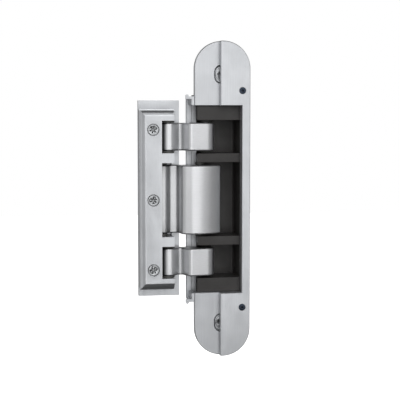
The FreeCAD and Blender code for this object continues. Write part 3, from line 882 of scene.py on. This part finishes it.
@dataclass(frozen=True)
class Lamp:
    """A square soft lamp, with its side in metres and its power in watts."""

    name: str
    at: Vector
    side: float
    power: float

    def build(self, target: Vector) -> None:
        """Adds the lamp.

        Args:
            target: Point that it faces.
        """
        light = bpy.data.lights.new(self.name, "AREA")
        light.size = self.side
        light.energy = self.power
        lamp = bpy.data.objects.new(self.name, light)
        bpy.context.collection.objects.link(lamp)
        lamp.location = self.at
        lamp.rotation_euler = (target - self.at).to_track_quat("-Z", "Y").to_euler()


@dataclass(frozen=True)
class Card:
    """A grey studio card that gloss sees and the camera doesn't. A level of 1 is white."""

    name: str
    at: tuple[float, float, float]
    facing: tuple[float, float, float]
    width: float
    height: float
    level: float

    def build(self) -> None:
        """Adds the card."""
        bpy.ops.mesh.primitive_plane_add(size=1, location=self.at)
        card = bpy.context.object
        card.name = self.name
        card.scale = (self.width, self.height, 1)
        card.rotation_euler = Vector(self.facing).to_track_quat("Z", "Y").to_euler()
        bpy.ops.object.transform_apply(location=True, rotation=True, scale=True)
        card.visible_camera = False
        card.visible_shadow = False
        material = bpy.data.materials.new(self.name)
        material.use_nodes = True
        tree = material.node_tree
        tree.nodes.clear()
        grey = (self.level, self.level, self.level, 1)
        glow = add_node(tree, "ShaderNodeEmission", {}, {"Color": grey, "Strength": 1.0})
        add_node(tree, "ShaderNodeOutputMaterial", {}, {"Surface": glow.outputs[0]})
        card.data.materials.append(material)


@dataclass
class Studio:
    """Floor, background, lamps, cards and camera, all in metres."""

    camera_at: tuple[float, float, float] = (-0.1052, -0.563, 0.0474)
    camera_aim: tuple[float, float, float] = (-0.0112, -0.003, -0.0001)
    focal_pixels: float = 1124.0
    picture_pixels: float = 400.0
    sensor_millimetres: float = 36.0
    clip_near: float = 0.01
    clip_far: float = 20.0

    floor_height: float = -0.30
    floor_side: float = 6.0
    floor_colour: str = "#E6E6E6"
    floor_roughness: float = 0.8
    floor_glow: float = 0.80
    world_fill: float = 0.5

    middle: tuple[float, float, float] = (-0.014, 0.0, 0.0)
    lamp_side: float = 0.8
    key_elevation: float = 34.0
    key_aside: float = 0.05
    key_distance: float = 1.0
    key_power: float = 4.5
    back_at: tuple[float, float, float] = (0.25, 0.85, 0.60)
    back_power: float = 6.0

    room_low: tuple[float, float, float] = (-0.7, -1.0, -0.28)
    room_high: tuple[float, float, float] = (0.7, 0.5, 0.75)
    level_below: float = 0.08
    level_above: float = 0.12
    level_left: float = 0.62
    level_right: float = 0.30
    level_back: float = 0.32
    level_front: float = 0.15
    softboxes: tuple[Card, ...] = (
        Card("softbox_wide", (-0.04, -0.99, 0.02), (0, 1, 0), 1.20, 0.60, 0.75),
        Card("softbox_front", (0.02, -0.98, 0.02), (0, 1, 0), 0.68, 0.60, 1.26),
        Card("softbox_low", (0.03, -0.97, -0.20), (0, 1, 0), 0.70, 0.16, 2.1),
    )

    def white_to_view(self, tree: bpy.types.NodeTree) -> bpy.types.NodeSocket:
        """Finds the rays that see the background directly, mirrored or through glass.

        Args:
            tree: Node tree that needs to know.

        Returns:
            1 for these rays and 0 for all others.
        """
        path = add_node(tree, "ShaderNodeLightPath")
        seen = add_node(tree, "ShaderNodeMath", {"operation": "MAXIMUM"}, {
            0: path.outputs["Is Camera Ray"], 1: path.outputs["Is Glossy Ray"],
        })
        both = add_node(tree, "ShaderNodeMath", {"operation": "MAXIMUM"}, {
            0: seen.outputs[0], 1: path.outputs["Is Transmission Ray"],
        })
        return both.outputs[0]

    def lay_floor(self) -> None:
        """Lays the pale floor, which glows a little to the view and keeps the object's shadow."""
        bpy.ops.object.select_all(action="DESELECT")
        bpy.ops.mesh.primitive_plane_add(size=self.floor_side, location=(0, 0, self.floor_height))
        floor = bpy.context.object
        floor.name = "studio_floor"
        bpy.ops.object.transform_apply(location=True, rotation=True, scale=True)
        material = bpy.data.materials.new("pale_floor")
        material.use_nodes = True
        tree = material.node_tree
        shader = tree.nodes["Principled BSDF"]
        shader.inputs["Base Color"].default_value = linear_rgba(self.floor_colour)
        shader.inputs["Roughness"].default_value = self.floor_roughness
        share = add_node(tree, "ShaderNodeMath", {"operation": "MULTIPLY"}, {
            0: self.white_to_view(tree), 1: self.floor_glow,
        })
        glow = add_node(tree, "ShaderNodeEmission", {}, {"Color": WHITE, "Strength": share.outputs[0]})
        both = add_node(tree, "ShaderNodeAddShader", {}, {0: shader.outputs[0], 1: glow.outputs[0]})
        tree.links.new(both.outputs[0], tree.nodes["Material Output"].inputs["Surface"])
        floor.data.materials.append(material)

    def hang_background(self) -> None:
        """Makes the world white to the view and a plain fill light to everything else."""
        world = bpy.data.worlds.new("studio_world")
        bpy.context.scene.world = world
        world.use_nodes = True
        tree = world.node_tree
        tree.nodes.clear()
        fill = add_node(tree, "ShaderNodeBackground", {}, {"Color": WHITE, "Strength": self.world_fill})
        white = add_node(tree, "ShaderNodeBackground", {}, {"Color": WHITE, "Strength": 1.0})
        mix = add_node(tree, "ShaderNodeMixShader", {}, {
            0: self.white_to_view(tree), 1: fill.outputs[0], 2: white.outputs[0],
        })
        add_node(tree, "ShaderNodeOutputWorld", {}, {"Surface": mix.outputs[0]})

    def set_lamps(self) -> None:
        """Sets the key lamp above the viewer and a second lamp behind the object."""
        middle = Vector(self.middle)
        tilt = math.radians(self.key_elevation)
        key_at = middle + self.key_distance * Vector((self.key_aside, -math.cos(tilt), math.sin(tilt)))
        Lamp("key_softbox", key_at, self.lamp_side, self.key_power).build(middle)
        Lamp("back_softbox", Vector(self.back_at), self.lamp_side, self.back_power).build(middle)

    def hang_cards(self) -> None:
        """Hangs a card on each wall of the room, so that gloss sees no gap, and softboxes in front."""
        low, high = self.room_low, self.room_high
        x, y, z = ((start + end) / 2 for start, end in zip(low, high))
        wide, deep, tall = (end - start for start, end in zip(low, high))
        walls = (
            Card("card_below", (x, y, low[2]), (0, 0, 1), wide, deep, self.level_below),
            Card("card_above", (x, y, high[2]), (0, 0, -1), wide, deep, self.level_above),
            Card("card_left", (low[0], y, z), (1, 0, 0), tall, deep, self.level_left),
            Card("card_right", (high[0], y, z), (-1, 0, 0), tall, deep, self.level_right),
            Card("card_back", (x, high[1], z), (0, -1, 0), wide, tall, self.level_back),
            Card("card_front", (x, low[1], z), (0, 1, 0), wide, tall, self.level_front),
        )
        for card in walls + self.softboxes:
            card.build()

    def set_camera(self) -> None:
        """Sets the camera at the viewing angle, with plain colours."""
        data = bpy.data.cameras.new("camera")
        camera = bpy.data.objects.new("camera", data)
        bpy.context.collection.objects.link(camera)
        camera.location = self.camera_at
        look = Vector(self.camera_aim) - Vector(self.camera_at)
        camera.rotation_euler = look.to_track_quat("-Z", "Y").to_euler()
        data.sensor_width = self.sensor_millimetres
        data.lens = self.focal_pixels * self.sensor_millimetres / self.picture_pixels
        data.clip_start = self.clip_near
        data.clip_end = self.clip_far
        bpy.context.scene.camera = camera
        bpy.context.scene.view_settings.view_transform = "Standard"

    def build(self) -> None:
        """Builds the studio around the object."""
        self.lay_floor()
        self.hang_background()
        self.set_lamps()
        self.hang_cards()
        self.set_camera()


def main() -> None:
    """Builds the hinge and its studio."""
    logging.basicConfig(level=logging.INFO, format="%(name)s: %(message)s")
    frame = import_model()
    shop = Workshop(frame)
    FramePart().build(shop)
    CrossingArms().build(shop)
    LeafPart().build(shop)
    shop.dress_rest()
    Studio().build()
    bpy.context.view_layer.update()


if __name__ == "__main__":
    main()
